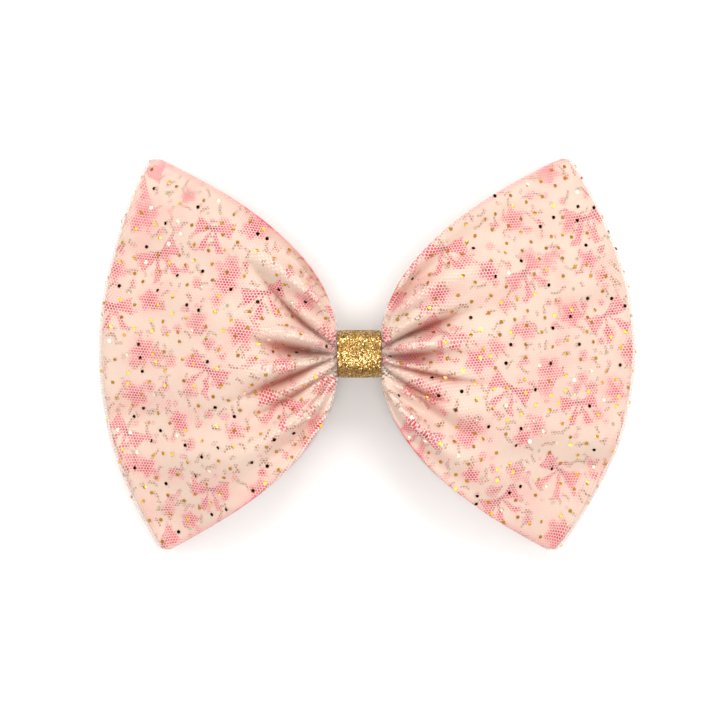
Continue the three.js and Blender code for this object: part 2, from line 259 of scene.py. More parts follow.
def tuckDepth(side, x, y):
    # how deep the named gathers sink here, in millimetres; steeper on their upper flank
    run = np.maximum(x - cloth["waistReach"], 0) / mm
    depth = np.zeros_like(x)
    for gather in gathers[side]:
        line = gather["start"] + gather["slope"] * run + gather["bend"] * run ** 2
        offset = (y / mm - line) / math.hypot(1, gather["slope"])
        width = (0.30 + gather["opens"] * 0.75 * run) * np.where(offset > 0, 0.6, 1.25)
        strength = mix(0.35, 1, ease(run, -1.0, 2.5))
        strength = strength * (1 - ease(run, gather["length"] * 0.35, gather["length"]))
        depth += gather["depth"] * strength * np.exp(-np.abs(offset) / width)
    return depth


def relief(side, face, x, y, v):
    # how far the gathers and soft waves push the wall out, in metres; x runs from the waist's middle
    run = np.maximum(x - cloth["waistReach"], 0) / mm
    across = y / mm
    height = -tuckDepth(side, x, y)
    tight = fineGathers[0][1]
    for count, depth, reach, start in fineGathers:
        under = (x - cloth["waistReach"]) / mm
        if depth == tight:
            fade = 1 - ease(under, -2.2, 0.3)
        else:
            fade = ease(run, 0, 6) * (1 - ease(run, reach * 0.1, reach))
        height += depth * fade * np.cos(count * math.pi * v + start + 0.9 * side + 1.3 * face)
    waves = np.zeros_like(x)
    for size, waveLength, direction, start in softWaves:
        turn = math.radians(direction * side)
        phase = (x / mm * math.cos(turn) + across * math.sin(turn)) * 2 * math.pi / waveLength
        waves += size * np.sin(phase + start + side + face)
    height += waves * ease(run, 2, 14)
    if face < 0:
        count, depth, reach, start = backGather
        fine = depth * ease(run, 0, 4) * (1 - ease(run, reach * 0.3, reach))
        height = height * 0.6 + fine * np.cos(count * math.pi * v + start)
    return height * mm


def wallRun(side, face, v, shares):
    # points down one column of a wall, spaced evenly along the cloth, from the seam under the band
    t = np.linspace(0, 1, 400) ** 2
    x, y = planPoint(side, t, v)
    steps = np.hypot(np.diff(x), np.diff(y))
    along = np.concatenate([[0], np.cumsum(steps)])
    t = np.interp(shares * along[-1], along, t)
    x, y = planPoint(side, t, v)
    hidden = np.linspace(0, cloth["waistReach"], cloth["bandRows"] + 1)[:-1]
    x = np.concatenate([hidden, x])
    y = np.concatenate([np.full(len(hidden), y[0]), y])
    t = np.concatenate([np.zeros(len(hidden)), t])
    z = middleLevel(t, v) + face * halfGap(t, v) + face * relief(side, face, x, y, v)
    squeezed = np.clip(z, cloth["waistLevel"] - cloth["waistHeight"],
                       cloth["waistLevel"] + cloth["waistHeight"])
    z = mix(squeezed, z, ease(x, cloth["waistReach"] - 0.3 * mm, cloth["waistReach"] + 2 * mm))
    if face < 0:
        above = (1 - ease(np.abs(y), 4.5 * mm, 8 * mm)) * (1 - ease(x, 26 * mm, 32 * mm))
        z = mix(z, np.maximum(z, liningHigh.z + cloth["clipGap"]), above)
    return np.stack([x, y, z], axis=1)


def loopGrid(side):
    # rows from the waist's front, round the outer fold, to the waist's back; columns across the strip
    shares = np.linspace(0, 1, cloth["wallRows"])
    angles = np.linspace(math.pi / 2, -math.pi / 2, cloth["foldRows"])[1:-1]
    columns = []
    for v in np.linspace(-1, 1, cloth["columns"]):
        front = wallRun(side, 1, v, shares)
        back = wallRun(side, -1, v, shares)[::-1]
        top, bottom = front[-1], back[0]
        centre = (top + bottom) / 2
        fold = [centre + np.array([cloth["foldRadius"] * math.cos(a), 0, 0]) + (top - centre) * math.sin(a)
                for a in angles]
        columns.append(np.concatenate([front, np.array(fold), back]))
    grid = np.stack(columns, axis=1)
    grid[:, :, 0] = waistX + side * grid[:, :, 0]
    return grid


def gridNormals(grid, side):
    along = np.gradient(grid, axis=0)
    across = np.gradient(grid, axis=1)
    normal = np.cross(along, across) * side
    return normal / np.maximum(np.linalg.norm(normal, axis=2, keepdims=True), 1e-12)


def clothCoordinates(grid):
    # the cloth laid flat: starts from the plan, unrolled at the fold, then relaxed until every thread
    # has nearly its real length, so that a pattern keeps its size on steep folds; millimetres
    points = grid / mm
    foldRow = grid.shape[0] // 2
    outward = np.abs(np.diff(points[:, :, 0], axis=0))
    sunk = np.abs(np.diff(points[:, :, 2], axis=0))
    step = np.where(np.arange(grid.shape[0] - 1)[:, None] == foldRow, sunk, outward)
    rolled = slice(foldRow - cloth["foldRows"] // 2 - 1, foldRow + cloth["foldRows"] // 2 + 1)
    step[rolled] = np.hypot(outward[rolled], sunk[rolled])
    flat = np.zeros(points.shape[:2] + (2,))
    flat[1:, :, 0] = np.cumsum(step, axis=0)
    flat[:, :, 1] = points[:, :, 1]
    neighbours = [(slice(None, -1), slice(None), slice(1, None), slice(None)),
                  (slice(None), slice(None, -1), slice(None), slice(1, None)),
                  (slice(None, -1), slice(None, -1), slice(1, None), slice(1, None)),
                  (slice(None, -1), slice(1, None), slice(1, None), slice(None, -1))]
    lengths = [np.linalg.norm(points[a, b] - points[c, d], axis=2) for a, b, c, d in neighbours]
    for turn in range(cloth["relaxing"]):
        push = np.zeros_like(flat)
        for (a, b, c, d), length in zip(neighbours, lengths):
            gap = flat[c, d] - flat[a, b]
            now = np.maximum(np.linalg.norm(gap, axis=2), 1e-6)
            move = gap * ((now - length) / now * 0.115)[:, :, None]
            push[a, b] += move
            push[c, d] -= move
        flat += push
    return flat


def setCorners(piece, name, values):
    # a four-number value on each face corner
    layer = piece.data.attributes.new(name, "FLOAT_COLOR", "CORNER")
    layer.data.foreach_set("color", np.ascontiguousarray(values, dtype=np.float32).ravel())


def setPoints(piece, name, values):
    layer = piece.data.attributes.new(name, "FLOAT", "POINT")
    layer.data.foreach_set("value", np.ascontiguousarray(values, dtype=np.float32).ravel())


def foldValues(grid, side):
    # how deep in a gather each point lies, used as the strength of the painted shade in the gathers, and
    # how close to the strip's cut edges; both 0 to 1
    tuck = tuckDepth(side, np.abs(grid[:, :, 0] - waistX), grid[:, :, 1])
    frontRows = grid.shape[0] // 2
    tuck[frontRows:] *= 0.6
    edge = np.abs(np.linspace(-1, 1, grid.shape[1]))[None, :].repeat(grid.shape[0], axis=0)
    run = np.abs(grid[:, :, 0] - waistX) / mm - cloth["waistReach"] / mm
    crowdedShade = 1.5 + 2.2 * (1 - ease(run, 0, 9))  # near the band the gathers run into one another, so the painted shade starts only in the deeper ones there
    return np.clip((tuck - crowdedShade) / 2.6, 0, 1), ease(edge, 0.965, 0.995)


def sheetFromGrid(name, grid, side, flat):
    rows, columns = grid.shape[:2]
    corner = np.arange(rows * columns).reshape(rows, columns)
    quads = np.stack([corner[:-1, :-1], corner[1:, :-1], corner[1:, 1:], corner[:-1, 1:]], axis=2)
    quads = quads.reshape(-1, 4)
    if side < 0:
        quads = quads[:, ::-1]
    piece = meshPiece(name, grid.reshape(-1, 3), quads.tolist())
    layer = piece.data.uv_layers.new(name="clothMm")
    apart = (300 if side > 0 else 0, 100)  # mm, so that each loop is cut from its own part of the print
    layer.data.foreach_set("uv", (flat.reshape(-1, 2) + apart)[quads.ravel()].ravel())
    for polygon in piece.data.polygons:
        polygon.use_smooth = True
    tuck, edge = foldValues(grid, side)
    # tuck carries the painted shade of the gathers to the print and the tulle
    setPoints(piece, "tuck", tuck)
    setPoints(piece, "cutEdge", edge)
    return piece, quads


def motifCorners(flat, quads, motifs, side):
    # each face belongs to its nearest motif; its corners hold their place in that motif's own axes,
    # then the motif's strength and a seed
    points = flat.reshape(-1, 2)
    middles = points[quads].mean(axis=1)
    away = np.hypot(middles[:, None, 0] - motifs[None, :, 0], middles[:, None, 1] - motifs[None, :, 1])
    mine = motifs[np.argmin(away / motifs[None, :, 3], axis=1)]
    local = points[quads] - mine[:, None, :2]
    acrossX = local[:, :, 0] * side
    cosine, sine = np.cos(mine[:, 2])[:, None], np.sin(mine[:, 2])[:, None]
    values = np.ones(quads.shape + (4,))
    values[:, :, 0] = (acrossX * cosine + local[:, :, 1] * sine) / mine[:, 3][:, None]
    values[:, :, 1] = (-acrossX * sine + local[:, :, 1] * cosine) / mine[:, 3][:, None]
    values[:, :, 2] = mine[:, 4][:, None]
    values[:, :, 3] = mine[:, 5][:, None] * 0.173 % 1
    return values


# printed polyester: dense plain weave with a heat-transferred watercolour, matt with a little sheen

printArt = {
    "ground": "#DDC0AE",
    "blush": "#E99690",
    "bowPink": "#DE3F5E",
    "bowDeep": "#99122F",
    "petal": "#D8445E",
    "heart": "#B8173B",
    "sprig": "#A4602E",
    "shade": "#B5523C",  # painted shade deep inside a gather
}

# the larger motifs, scattered over the flat cloth: mm, degrees, and how strongly each is printed
motifScatter = {
    "bow": {"seed": 21, "darts": 700, "apart": 15.5, "turn": 42,
            "halfWidth": (4.6, 6.0), "strength": (0.8, 1.0)},
    "flower": {"seed": 34, "darts": 1800, "apart": 10.5, "turn": 60,
               "halfWidth": (2.6, 4.4), "strength": (0.7, 1.0)},
}


def scatterMotifs(flat, kind, side, taken):
    # darts thrown at the flat cloth; one that lands too near another motif doesn't count
    art = motifScatter[kind]
    chooser = np.random.default_rng(art["seed"] + side)
    low, high = flat.reshape(-1, 2).min(axis=0), flat.reshape(-1, 2).max(axis=0)
    placed = []
    for dart in range(art["darts"]):
        x, y = chooser.uniform(low, high)
        turn = math.radians(chooser.uniform(-art["turn"], art["turn"]))
        halfWidth = chooser.uniform(*art["halfWidth"])
        strength = chooser.uniform(*art["strength"])
        gaps = [math.hypot(x - other[0], y - other[1]) for other in placed]
        gaps += [math.hypot(x - other[0], y - other[1]) + 2.0 for other in taken]
        if min(gaps, default=art["apart"]) >= art["apart"]:
            placed.append((x, y, turn, halfWidth, strength, len(placed)))
    return np.array(placed)


def clothUv(material, warp):
    uv = addNode(material, "ShaderNodeUVMap", uv_map="clothMm")
    noise = addNode(material, "ShaderNodeTexNoise",
                    {"Vector": uv.outputs["UV"], "Scale": 0.35, "Detail": 2.0})
    centred = addNode(material, "ShaderNodeVectorMath",
                      {0: noise.outputs["Color"], 1: (0.5, 0.5, 0.5)}, operation="SUBTRACT")
    scaled = addNode(material, "ShaderNodeVectorMath",
                     {0: centred.outputs[0], "Scale": warp}, operation="SCALE")
    return addNode(material, "ShaderNodeVectorMath",
                   {0: uv.outputs["UV"], 1: scaled.outputs[0]}, operation="ADD").outputs[0]


def calc(material, operation, a, b=0.0, c=0.0, clamp=False):
    return addNode(material, "ShaderNodeMath", {0: a, 1: b, 2: c},
                   operation=operation, use_clamp=clamp).outputs[0]


def motifPlace(material, uv, spacing, jitter, shift=(0, 0, 0)):
    # scattered motif centres: each point's own x and y about its nearest centre, turned at random
    moved = addNode(material, "ShaderNodeVectorMath", {0: uv, 1: shift}, operation="ADD").outputs[0]
    cells = addNode(material, "ShaderNodeTexVoronoi",
                    {"Vector": moved, "Scale": 1 / spacing, "Randomness": jitter},
                    voronoi_dimensions="2D")
    local = addNode(material, "ShaderNodeVectorMath",
                    {0: moved, 1: cells.outputs["Position"]}, operation="SUBTRACT").outputs[0]
    chance = addNode(material, "ShaderNodeSeparateColor", {"Color": cells.outputs["Color"]})
    turn = calc(material, "MULTIPLY", chance.outputs[0], 2 * math.pi)
    turned = addNode(material, "ShaderNodeVectorRotate",
                     {"Vector": local, "Angle": turn}, rotation_type="Z_AXIS").outputs[0]
    place = addNode(material, "ShaderNodeSeparateXYZ", {"Vector": turned})
    return place.outputs[0], place.outputs[1], chance.outputs[1], chance.outputs[2]


def softEdge(material, distance, softness):
    # 1 where the distance inside the shape is more than the softness, 0 outside it
    return addNode(material, "ShaderNodeMapRange",
                   {"Value": distance, "From Min": 0.0, "From Max": softness},
                   interpolation_type="SMOOTHSTEP").outputs[0]


def paint(material, under, colour, amount):
    return addNode(material, "ShaderNodeMix",
                   {"Factor": amount, "A": under, "B": toLinear(colour)},
                   data_type="RGBA").outputs["Result"]


def motifAxes(material, name):
    corner = addNode(material, "ShaderNodeAttribute", attribute_name=name)
    parts = addNode(material, "ShaderNodeSeparateColor", {"Color": corner.outputs["Color"]})
    uv = addNode(material, "ShaderNodeUVMap", uv_map="clothMm").outputs["UV"]
    wobble = addNode(material, "ShaderNodeTexNoise", {"Vector": uv, "Scale": 0.7, "Detail": 3.0})
    shift = addNode(material, "ShaderNodeSeparateColor", {"Color": wobble.outputs["Color"]})
    sideways = calc(material, "SUBTRACT", shift.outputs[0], 0.5)
    x = calc(material, "MULTIPLY_ADD", sideways, 0.30, parts.outputs[0])
    upward = calc(material, "SUBTRACT", shift.outputs[1], 0.5)
    y = calc(material, "MULTIPLY_ADD", upward, 0.30, parts.outputs[1])
    return x, y, parts.outputs[2], corner.outputs["Alpha"]


def paintedBow(material):
    # two flared wings, two tails and a knot in half-width units; returns its wash and its dark folds
    x, y, strength, seed = motifAxes(material, "bowMotif")
    ax = calc(material, "ABSOLUTE", x)
    wingTop = calc(material, "SUBTRACT", calc(material, "MULTIPLY_ADD", ax, 0.46, 0.10), y)
    wingBottom = calc(material, "ADD", calc(material, "MULTIPLY_ADD", ax, 0.40, 0.10), y)
    wingEnd = calc(material, "SUBTRACT", 1.0, ax)
    wing = calc(material, "MINIMUM", calc(material, "MINIMUM", wingTop, wingBottom), wingEnd)
    fall = calc(material, "MULTIPLY", y, -1.0)
    tailMiddle = calc(material, "MULTIPLY_ADD", fall, 0.42, 0.05)
    tailWidth = calc(material, "MULTIPLY_ADD", fall, 0.17, 0.08)
    tailSide = calc(material, "SUBTRACT", tailWidth,
                    calc(material, "ABSOLUTE", calc(material, "SUBTRACT", ax, tailMiddle)))
    tailEnd = calc(material, "MINIMUM", calc(material, "SUBTRACT", 1.15, fall), fall)
    tail = calc(material, "MINIMUM", tailSide, tailEnd)
    knotAway = calc(material, "SQRT", calc(material, "ADD", calc(material, "MULTIPLY", x, x),
                                          calc(material, "MULTIPLY", y, y)))
    knot = calc(material, "SUBTRACT", 0.17, knotAway)
    inside = calc(material, "MAXIMUM", calc(material, "MAXIMUM", wing, tail), knot)
    polar = addNode(material, "ShaderNodeCombineXYZ",
                    {0: calc(material, "MULTIPLY", calc(material, "ARCTAN2", y, x), 3.2),
                     1: calc(material, "MULTIPLY", knotAway, 0.7), 2: seed}).outputs[0]
    veins = addNode(material, "ShaderNodeTexNoise",
                    {"Vector": polar, "Scale": 1.6, "Detail": 3.0}).outputs[0]
    wash = softEdge(material, inside, 0.12)
    rim = calc(material, "SUBTRACT", wash, softEdge(material, inside, 0.2))
    nearKnot = softEdge(material, calc(material, "SUBTRACT", 0.42, knotAway), 0.42)
    crease = softEdge(material, calc(material, "SUBTRACT", 0.05, calc(material, "ABSOLUTE", y)), 0.05)
    crease = calc(material, "MULTIPLY", crease,
                  softEdge(material, calc(material, "SUBTRACT", 0.85, ax), 0.4))
    folds = calc(material, "MAXIMUM", calc(material, "MULTIPLY", rim, 0.35),
                 calc(material, "MAXIMUM", nearKnot, crease))
    darkVeins = softEdge(material, calc(material, "SUBTRACT", veins, 0.52), 0.12)
    folds = calc(material, "MAXIMUM", folds, calc(material, "MULTIPLY", darkVeins, 0.45))
    deep = calc(material, "MULTIPLY", wash, folds)
    wash = calc(material, "MULTIPLY", wash, calc(material, "MULTIPLY_ADD", veins, 0.7, 0.62, clamp=True))
    return calc(material, "MULTIPLY", wash, strength), calc(material, "MULTIPLY", deep, strength)


def paintedFlower(material):
    # five loose petals round a redder heart, bleeding into the ground
    x, y, strength = motifAxes(material, "flowerMotif")[:3]
    away = calc(material, "SQRT", calc(material, "ADD", calc(material, "MULTIPLY", x, x),
                                      calc(material, "MULTIPLY", y, y)))
    angle = calc(material, "ARCTAN2", y, x)
    lobes = calc(material, "COSINE", calc(material, "MULTIPLY", angle, 5.0))
    edge = calc(material, "MULTIPLY_ADD", lobes, 0.13, 0.86)
    inside = calc(material, "SUBTRACT", edge, away)
    petals = calc(material, "MULTIPLY", softEdge(material, inside, 0.4), strength)
    heart = calc(material, "MULTIPLY",
                 softEdge(material, calc(material, "SUBTRACT", 0.42, away), 0.4), strength)
    bleed = calc(material, "MULTIPLY",
                 softEdge(material, calc(material, "SUBTRACT", 1.5, away), 1.0), strength)
    return petals, heart, bleed


def paintedBlot(material, uv, spacing, shift, radius, share, rough=0.5):
    # a watery blot: a round with an uneven edge; returns it and its heart
    x, y, chanceA, chanceB = motifPlace(material, uv, spacing, 0.9, shift)
    away = calc(material, "SQRT", calc(material, "ADD", calc(material, "MULTIPLY", x, x),
                                      calc(material, "MULTIPLY", y, y)))
    noise = addNode(material, "ShaderNodeTexNoise",
                    {"Vector": uv, "Scale": 0.9, "Detail": 3.0}).outputs[0]
    edge = calc(material, "MULTIPLY_ADD", noise, 2 * rough * radius, radius * (0.55 - rough))
    grown = calc(material, "MULTIPLY_ADD", chanceB, 0.6 * radius, edge)
    keep = calc(material, "LESS_THAN", chanceA, share)
    blot = calc(material, "MULTIPLY",
                softEdge(material, calc(material, "SUBTRACT", grown, away), radius * 0.55), keep)
    heart = calc(material, "MULTIPLY", softEdge(material, calc(material, "SUBTRACT", radius * 0.42, away),
                                               radius * 0.35), keep)
    return blot, heart


def paintedSprig(material, uv, spacing, shift, length, share):
    # a short dry brush stroke, bent a little
    x, y, chanceA, chanceB = motifPlace(material, uv, spacing, 0.95, shift)
    bend = calc(material, "MULTIPLY", calc(material, "MULTIPLY", x, x), 0.16)
    side = calc(material, "ABSOLUTE", calc(material, "SUBTRACT", y, bend))
    inside = calc(material, "MINIMUM", calc(material, "SUBTRACT", 0.55, side),
                  calc(material, "SUBTRACT", length, calc(material, "ABSOLUTE", x)))
    keep = calc(material, "LESS_THAN", chanceA, share)
    return calc(material, "MULTIPLY", softEdge(material, inside, 0.4), keep)


def watercolourPrint():
    material, shader = newMaterial("printedPolyesterWatercolour")
    uv = clothUv(material, 1.3)
    wash = addNode(material, "ShaderNodeTexNoise",
                   {"Vector": uv, "Scale": 0.11, "Detail": 3.0}).outputs[0]
    petals, heart, bleed = paintedFlower(material)
    blush = calc(material, "MULTIPLY_ADD",
                 softEdge(material, calc(material, "SUBTRACT", wash, 0.45), 0.25), 0.45,
                 calc(material, "MULTIPLY", bleed, 0.4), clamp=True)
    colour = paint(material, toLinear(printArt["ground"]), printArt["blush"], blush)
    # each: spacing mm, shift mm, half length mm, share kept, strength
    strokes = [(4.6, (3, 11, 0), 1.4, 0.75, 0.7),
               (3.7, (31, 7, 0), 0.8, 0.62, 0.6),
               (6.3, (13, 29, 0), 1.3, 0.6, 0.65)]
    for spacing, shift, length, share, amount in strokes:
        stroke = paintedSprig(material, uv, spacing, shift, length, share)
        colour = paint(material, colour, printArt["sprig"], calc(material, "MULTIPLY", stroke, amount))
    smudge = paintedBlot(material, uv, 5.1, (41, 3, 0), 0.9, 0.5)[0]
    colour = paint(material, colour, printArt["sprig"], calc(material, "MULTIPLY", smudge, 0.42))
    # each: spacing mm, shift mm, radius mm, share kept, strength
    blots = [(4.4, (0, 0, 0), 1.2, 0.45, 0.5),
             (6.4, (17, 5, 0), 1.9, 0.45, 0.6),
             (9.5, (9, 23, 0), 2.6, 0.4, 0.62)]
    for spacing, shift, radius, share, amount in blots:
        blot, core = paintedBlot(material, uv, spacing, shift, radius, share)
        colour = paint(material, colour, printArt["petal"], calc(material, "MULTIPLY", blot, amount))
        if radius > 1.5:
            colour = paint(material, colour, printArt["heart"], calc(material, "MULTIPLY", core, 0.5))
    streak = addNode(material, "ShaderNodeTexNoise",
                     {"Vector": uv, "Scale": 0.8, "Detail": 4.0}).outputs[0]
    watery = calc(material, "MULTIPLY_ADD", streak, 0.8, 0.5, clamp=True)
    colour = paint(material, colour, printArt["petal"], calc(material, "MULTIPLY", petals, watery))
    colour = paint(material, colour, printArt["heart"], calc(material, "MULTIPLY", heart, 0.75))
    washIn, deep = paintedBow(material)
    colour = paint(material, colour, printArt["bowPink"], calc(material, "MULTIPLY", washIn, watery))
    colour = paint(material, colour, printArt["bowDeep"], calc(material, "MULTIPLY", deep, 0.8))
    edge = addNode(material, "ShaderNodeAttribute", attribute_name="cutEdge").outputs["Fac"]
    tuck = addNode(material, "ShaderNodeAttribute", attribute_name="tuck").outputs["Fac"]
    # painted shade: pinker along the strip's long edges, where they turn under
    colour = paint(material, colour, printArt["petal"], calc(material, "MULTIPLY", edge, 0.45))
    # painted shade: the cloth turns darker and salmon the deeper it lies in a gather
    colour = paint(material, colour, printArt["shade"], calc(material, "MULTIPLY", tuck, 0.85, clamp=True))
    connect(material, colour, shader.inputs["Base Color"])
    shader.inputs["Roughness"].default_value = 0.78
    shader.inputs["Sheen Weight"].default_value = 0.15
    # plain weave at 0.5 mm, drawn twice as coarse as the real thread so that it shows
    plain = addNode(material, "ShaderNodeUVMap", uv_map="clothMm").outputs["UV"]
    weave = addNode(material, "ShaderNodeTexChecker", {"Vector": plain, "Scale": 4.0}).outputs["Fac"]
    grain = addNode(material, "ShaderNodeTexNoise",
                    {"Vector": plain, "Scale": 1.1, "Detail": 2.0}).outputs[0]
    height = calc(material, "MULTIPLY_ADD", weave, 0.35, grain)
    bump = addNode(material, "ShaderNodeBump", {"Height": height, "Strength": 0.25, "Distance": 0.0002})
    connect(material, bump.outputs[0], shader.inputs["Normal"])
    return material


def printReverse():
    # the print's reverse: unprinted ground with the strongest colours striking through
    material, shader = newMaterial("printedPolyesterReverse")
    uv = clothUv(material, 1.3)
    blot = paintedBlot(material, uv, 8.4, (17, 5, 0), 2.3, 0.6)[0]
    colour = paint(material, toLinear("#FBF1EA"), printArt["blush"], calc(material, "MULTIPLY", blot, 0.5))
    connect(material, colour, shader.inputs["Base Color"])
    shader.inputs["Roughness"].default_value = 0.85
    plain = addNode(material, "ShaderNodeUVMap", uv_map="clothMm").outputs["UV"]
    weave = addNode(material, "ShaderNodeTexChecker", {"Vector": plain, "Scale": 4.0}).outputs["Fac"]
    bump = addNode(material, "ShaderNodeBump", {"Height": weave, "Strength": 0.2, "Distance": 0.0002})
    connect(material, bump.outputs[0], shader.inputs["Normal"])
    return material


# nylon tulle: a fine lattice of soft threads, see-through between them, cream with a dry sheen

tulleNet = {
    "thread": "#F5E7DA",
    "shade": "#C98670",  # painted shade on the threads inside a gather
    "translucent": 0.80,  # how much of what lies behind one thread hides
    "pitch": 0.70,  # mm from hole to hole
    "solidBelow": -1.05,  # the lattice's height where a thread is solid, and where a hole is clear
    "openAbove": -0.5,
}


def nylonTulle():
    # three waves at sixty degrees make a lattice of round holes with threads between them
    material, shader = newMaterial("nylonTulleCream")
    uv = addNode(material, "ShaderNodeUVMap", uv_map="clothMm").outputs["UV"]
    rate = 2 * math.pi / (tulleNet["pitch"] * math.sqrt(3) / 2)
    waves = []
    for turn in (35, 95, 155):
        direction = (math.cos(math.radians(turn)) * rate, math.sin(math.radians(turn)) * rate, 0)
        phase = addNode(material, "ShaderNodeVectorMath", {0: uv, 1: direction}, operation="DOT_PRODUCT")
        waves.append(calc(material, "COSINE", phase.outputs["Value"]))
    height = calc(material, "ADD", calc(material, "ADD", waves[0], waves[1]), waves[2])
    solid = addNode(material, "ShaderNodeMapRange",
                    {"Value": height, "From Min": tulleNet["openAbove"],
                     "From Max": tulleNet["solidBelow"]}).outputs[0]
    connect(material, calc(material, "MULTIPLY", solid, tulleNet["translucent"]), shader.inputs["Alpha"])
    tuck = addNode(material, "ShaderNodeAttribute", attribute_name="tuck").outputs["Fac"]
    # painted shade: the threads turn darker the deeper they lie in a gather
    crowdedShade = calc(material, "POWER", tuck, 0.8)
    colour = paint(material, toLinear(tulleNet["thread"]), tulleNet["shade"], crowdedShade)
    connect(material, colour, shader.inputs["Base Color"])
    shader.inputs["Roughness"].default_value = 0.5
    shader.inputs["Sheen Weight"].default_value = 0.2
    return material


# foil dots heat-pressed on the tulle: mirror gold, each bent a little by the net under it

foilDots = {
    "radius": 0.46 * mm,
    "spacing": 4.0,  # mm between neighbours in a row
    "rowGap": 3.4,
    "jitter": 1.05,
    "missing": 0.06,  # share of dots that never stuck
    "corners": 10,
    "tilt": 0.15,  # how far a dot leans, as a slope
    "lift": 0.07 * mm,
    "rowTurn": 24,  # degrees, the rows' slant across the cloth
    # painted reflection: a share of dots painted nearly black, as if mirroring the dark room
    "darkReflection": "#3B2510",
    "darkReflectionShare": 0.16,
    # painted highlight: a share of dots painted pale, as if mirroring a lamp
    "paleHighlight": "#FFF2D2",
    "paleHighlightShare": 0.14,
    "steepest": 0.35,  # no dot where the net's normal rises less than this, on the rolled outer edge
}


def goldFoil():
    # mirror-like pressed foil: most dots gold, some painted nearly black as a painted reflection of the
    # dark room, and some painted pale as a painted highlight
    material, shader = newMaterial("goldHotFoil")
    tone = addNode(material, "ShaderNodeAttribute", attribute_name="tone")
    colour = addNode(material, "ShaderNodeMix",
                     {"Factor": tone.outputs["Fac"], "A": toLinear("#F2C14E"), "B": toLinear("#D9962F")},
                     data_type="RGBA").outputs["Result"]
    # painted reflection and painted highlight, picked by each dot's random tone
    colour = paint(material, colour, foilDots["darkReflection"], calc(material, "LESS_THAN", tone.outputs["Fac"],
                                                            foilDots["darkReflectionShare"]))
    colour = paint(material, colour, foilDots["paleHighlight"], calc(material, "GREATER_THAN", tone.outputs["Fac"],
                                                            1 - foilDots["paleHighlightShare"]))
    connect(material, colour, shader.inputs["Base Color"])
    shader.inputs["Metallic"].default_value = 1.0
    shader.inputs["Roughness"].default_value = 0.16
    place = addNode(material, "ShaderNodeTexCoord").outputs["Object"]
    crinkle = addNode(material, "ShaderNodeTexNoise",
                      {"Vector": place, "Scale": 2600.0, "Detail": 1.0}).outputs[0]
    bump = addNode(material, "ShaderNodeBump", {"Height": crinkle, "Strength": 0.5, "Distance": 0.00008})
    connect(material, bump.outputs[0], shader.inputs["Normal"])
    return material


def dotPlaces(flat, chooser):
    # rows of places in flat cloth millimetres, staggered and jittered
    low, high = flat.reshape(-1, 2).min(axis=0), flat.reshape(-1, 2).max(axis=0)
    middle = (low + high) / 2
    half = float(np.hypot(*(high - low))) / 2
    turn = math.radians(foilDots["rowTurn"])
    count = int(half / foilDots["rowGap"]) + 1
    places = []
    for row in range(-count, count + 1):
        for step in range(-count, count + 1):
            along = (step + (row % 2) / 2) * foilDots["spacing"]
            along += chooser.uniform(-1, 1) * foilDots["jitter"]
            over = row * foilDots["rowGap"] + chooser.uniform(-1, 1) * foilDots["jitter"]
            places.append((middle[0] + along * math.cos(turn) - over * math.sin(turn),
                           middle[1] + along * math.sin(turn) + over * math.cos(turn)))
    return places


def makeDots(name, net, normals, flat, side, material):
    chooser = random.Random(17 + side)
    points = flat.reshape(-1, 2)
    tree = KDTree(len(points))
    for number, point in enumerate(points):
        tree.insert((point[0], point[1], 0), number)
    tree.balance()
    alongStep = np.gradient(net, axis=0)
    acrossStep = np.gradient(net, axis=1)
    alongFlat = np.gradient(flat, axis=0)
    acrossFlat = np.gradient(flat, axis=1)
    columns = net.shape[1]
    vertices, faces, tones = [], [], []
    for u, w in dotPlaces(flat, chooser):
        number, away = tree.find((u, w, 0))[1:]
        row, column = divmod(number, columns)
        hidden = abs(net[row, column, 0] - waistX) < bandHalf + foilDots["radius"]
        lost = chooser.random() < foilDots["missing"]
        rolled = abs(normals[row, column, 2]) < foilDots["steepest"]
        if away > 0.7 or hidden or lost or rolled or column in (0, columns - 1):
            continue
        basis = np.stack([alongFlat[row, column], acrossFlat[row, column]], axis=1)
        if abs(np.linalg.det(basis)) < 0.05:
            continue
        share = np.linalg.solve(basis, np.array([u, w]) - flat[row, column])
        if np.abs(share).max() > 1.2:
            continue
        centre = net[row, column] + alongStep[row, column] * share[0] + acrossStep[row, column] * share[1]
        normal = Vector(normals[row, column])
        lean = Vector([chooser.gauss(0, foilDots["tilt"]) for axis in range(3)])
        up = (normal + lean - normal * lean.dot(normal)).normalized()
        first = up.orthogonal().normalized()
        second = up.cross(first)
        start = len(vertices)
        bend = chooser.uniform(-0.10, 0.10)
        centre = Vector(centre) + normal * foilDots["lift"]
        vertices.append(centre + up * bend * foilDots["radius"])
        for corner in range(foilDots["corners"]):
            angle = 2 * math.pi * corner / foilDots["corners"]
            arm = first * math.cos(angle) + second * math.sin(angle)
            drop = up * bend * foilDots["radius"] * math.cos(angle) ** 2
            vertices.append(centre + arm * foilDots["radius"] - drop)
        for corner in range(foilDots["corners"]):
            faces.append((start, start + 1 + corner, start + 1 + (corner + 1) % foilDots["corners"]))
        tones += [chooser.random()] * (foilDots["corners"] + 1)
    piece = meshPiece(name, vertices, faces)
    layer = piece.data.attributes.new("tone", "FLOAT", "POINT")
    layer.data.foreach_set("value", tones)
    for polygon in piece.data.polygons:
        polygon.use_smooth = True
    piece.data.materials.append(material)
    print(name, len(faces) // foilDots["corners"], "dots")
    return piece


